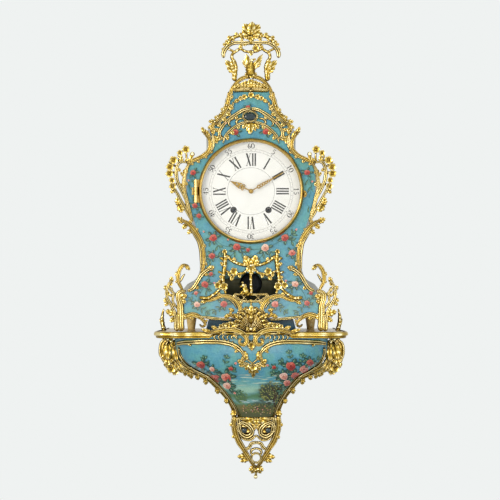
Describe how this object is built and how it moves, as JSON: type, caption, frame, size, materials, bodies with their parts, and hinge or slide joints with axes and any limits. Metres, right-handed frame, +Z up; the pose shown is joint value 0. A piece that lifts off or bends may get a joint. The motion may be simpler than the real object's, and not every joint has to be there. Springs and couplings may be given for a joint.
{
  "type": "bracket clock",
  "caption": "Rococo pendulum clock with a waisted painted case, round enamel dial, domed glass door and gilt scroll mounts, standing on its matching wall bracket",
  "frame": {"origin": "midway between the two hanging holes, on the wall plane behind the bracket's back board", "axes": "+Z up, +Y into the wall, the dial faces -Y and +X is the viewer's right"},
  "size_m": [0.4724, 0.203, 1.1191],
  "materials": {
    "gilt_bronze": "burnished and matt fire gilding",
    "painted_lacquer": "varnished paint",
    "side_lacquer": "varnished paint",
    "dark_lacquer": "satin paint",
    "bare_oak": "bare",
    "movement_brass": "brushed",
    "blued_steel": "polished",
    "blackened_iron": "satin",
    "enamel": "gloss",
    "clear_glass": "polished"
  },
  "bodies": {
    "bracket": {"bracket_shelf": "bare_oak", "bracket_body": "painted_lacquer", "bracket_back_board": "bare_oak", "bracket_plinth": "dark_lacquer", "bracket_corners": "gilt_bronze", "bracket_rails": "gilt_bronze", "bracket_centre_mount": "gilt_bronze", "bracket_terminal": "gilt_bronze", "shelf_rim": "gilt_bronze", "frieze_mounts": "gilt_bronze"},
    "case": {"case_front_board": "painted_lacquer", "case_side_left": "side_lacquer", "case_side_right": "side_lacquer", "case_floor": "bare_oak", "case_back_frame": "bare_oak", "crown_bower": "gilt_bronze", "crown_figure": "gilt_bronze", "crown_rocaille": "gilt_bronze", "crown_corners": "gilt_bronze", "crest_mount": "gilt_bronze", "crest_stone": "dark_lacquer", "shoulder_mounts": "gilt_bronze", "dial_side_mounts": "gilt_bronze", "waist_mounts": "gilt_bronze", "aperture_trellis": "gilt_bronze", "aperture_group": "gilt_bronze", "panel_scrolls": "gilt_bronze", "apron_shell": "gilt_bronze", "foot_mount_left": "gilt_bronze", "foot_mount_right": "gilt_bronze", "bezel_hinge": "gilt_bronze", "dial_plate": "enamel", "movement_straps": "blued_steel", "front_plate": "movement_brass", "back_plate": "movement_brass", "pillars": "movement_brass", "suspension_cock": "movement_brass", "bell": "movement_brass"},
    "bezel_door": {"bezel": "gilt_bronze", "bezel_glass": "clear_glass", "bezel_catch": "gilt_bronze"},
    "rear_door": {"back_door": "dark_lacquer"},
    "minute": {"minute_hand": "gilt_bronze", "cannon_wheel": "movement_brass"},
    "hour": {"hour_hand": "gilt_bronze", "hour_wheel": "movement_brass"},
    "motion": {"motion_wheel": "movement_brass"},
    "centre": {"centre_wheel": "movement_brass"},
    "going_middle": {"going_wheel": "movement_brass"},
    "going_drum": {"going_barrel": "movement_brass"},
    "going_key": {"going_winder": "blued_steel"},
    "third": {"third_wheel": "movement_brass"},
    "escape": {"escape_wheel": "movement_brass"},
    "anchor": {"anchor_crutch": "blued_steel"},
    "pendulum": {"pendulum_rod": "blued_steel", "pendulum_bob": "blackened_iron"},
    "strike_drum": {"strike_barrel": "movement_brass"},
    "strike_key": {"strike_winder": "blued_steel"},
    "strike_middle": {"strike_wheel": "movement_brass"},
    "hammer": {"strike_hammer": "blued_steel"}
  },
  "joints": [
    {"name": "case_lift", "type": "slide", "parent": "bracket", "child": "case", "axis": [0, 0, 1], "range_m": [0, 0.06]},
    {"name": "bezel_swing", "type": "hinge", "parent": "case", "child": "bezel_door", "pos_m": [-0.132, -0.1684, 0.383], "axis": [0, 0, -1], "range_deg": [0, 100]},
    {"name": "rear_door_swing", "type": "hinge", "parent": "case", "child": "rear_door", "pos_m": [0.093, -0.0086, 0.323], "axis": [0, 0, -1], "range_deg": [0, 100]},
    {"name": "minute_turn", "type": "hinge", "parent": "case", "child": "minute", "pos_m": [0, -0.1204, 0.383], "axis": [0, 1, 0], "continuous": true},
    {"name": "hour_turn", "type": "hinge", "parent": "case", "child": "hour", "pos_m": [0, -0.1204, 0.383], "axis": [0, 1, 0], "continuous": true},
    {"name": "motion_turn", "type": "hinge", "parent": "case", "child": "motion", "pos_m": [0.013, -0.144, 0.3923], "axis": [0, 1, 0], "continuous": true},
    {"name": "centre_turn", "type": "hinge", "parent": "case", "child": "centre", "pos_m": [0, -0.1204, 0.383], "axis": [0, 1, 0], "continuous": true},
    {"name": "going_middle_turn", "type": "hinge", "parent": "case", "child": "going_middle", "pos_m": [0.02801, -0.1204, 0.37547], "axis": [0, 1, 0], "continuous": true},
    {"name": "going_drum_turn", "type": "hinge", "parent": "case", "child": "going_drum", "pos_m": [0.042, -0.1204, 0.338], "axis": [0, 1, 0], "continuous": true},
    {"name": "third_turn", "type": "hinge", "parent": "case", "child": "third", "pos_m": [-0.012, -0.1204, 0.4055], "axis": [0, 1, 0], "continuous": true},
    {"name": "escape_turn", "type": "hinge", "parent": "case", "child": "escape", "pos_m": [0, -0.1204, 0.4227], "axis": [0, 1, 0], "continuous": true},
    {"name": "going_wind", "type": "hinge", "parent": "case", "child": "going_key", "pos_m": [0.042, -0.1204, 0.338], "axis": [0, 1, 0], "continuous": true},
    {"name": "pendulum_swing", "type": "hinge", "parent": "case", "child": "pendulum", "pos_m": [0, -0.0868, 0.4447], "axis": [0, 1, 0], "range_deg": [-3, 3]},
    {"name": "anchor_rock", "type": "hinge", "parent": "case", "child": "anchor", "pos_m": [0, -0.1204, 0.4447], "axis": [0, 1, 0], "range_deg": [-3, 3]},
    {"name": "strike_drum_turn", "type": "hinge", "parent": "case", "child": "strike_drum", "pos_m": [-0.042, -0.1204, 0.338], "axis": [0, 1, 0], "continuous": true},
    {"name": "strike_middle_turn", "type": "hinge", "parent": "case", "child": "strike_middle", "pos_m": [-0.02801, -0.1204, 0.37547], "axis": [0, 1, 0], "continuous": true},
    {"name": "strike_wind", "type": "hinge", "parent": "case", "child": "strike_key", "pos_m": [-0.042, -0.1204, 0.338], "axis": [0, 1, 0], "continuous": true},
    {"name": "hammer_lift", "type": "hinge", "parent": "case", "child": "hammer", "pos_m": [-0.054, -0.1204, 0.391], "axis": [0, -1, 0], "range_deg": [0, 6], "stiffness_Nm_per_rad": 0.02}
  ],
  "couplings": [
    {"joint": "hour_turn", "follows": "minute_turn", "ratio": 0.083333},
    {"joint": "motion_turn", "follows": "minute_turn", "ratio": -0.33333},
    {"joint": "centre_turn", "follows": "minute_turn", "ratio": 1},
    {"joint": "going_middle_turn", "follows": "minute_turn", "ratio": -0.16667},
    {"joint": "going_drum_turn", "follows": "minute_turn", "ratio": 0.023148},
    {"joint": "third_turn", "follows": "minute_turn", "ratio": -8},
    {"joint": "escape_turn", "follows": "minute_turn", "ratio": 80},
    {"joint": "anchor_rock", "follows": "pendulum_swing", "ratio": 1},
    {"joint": "strike_middle_turn", "follows": "strike_drum_turn", "ratio": -7.2}
  ]
}
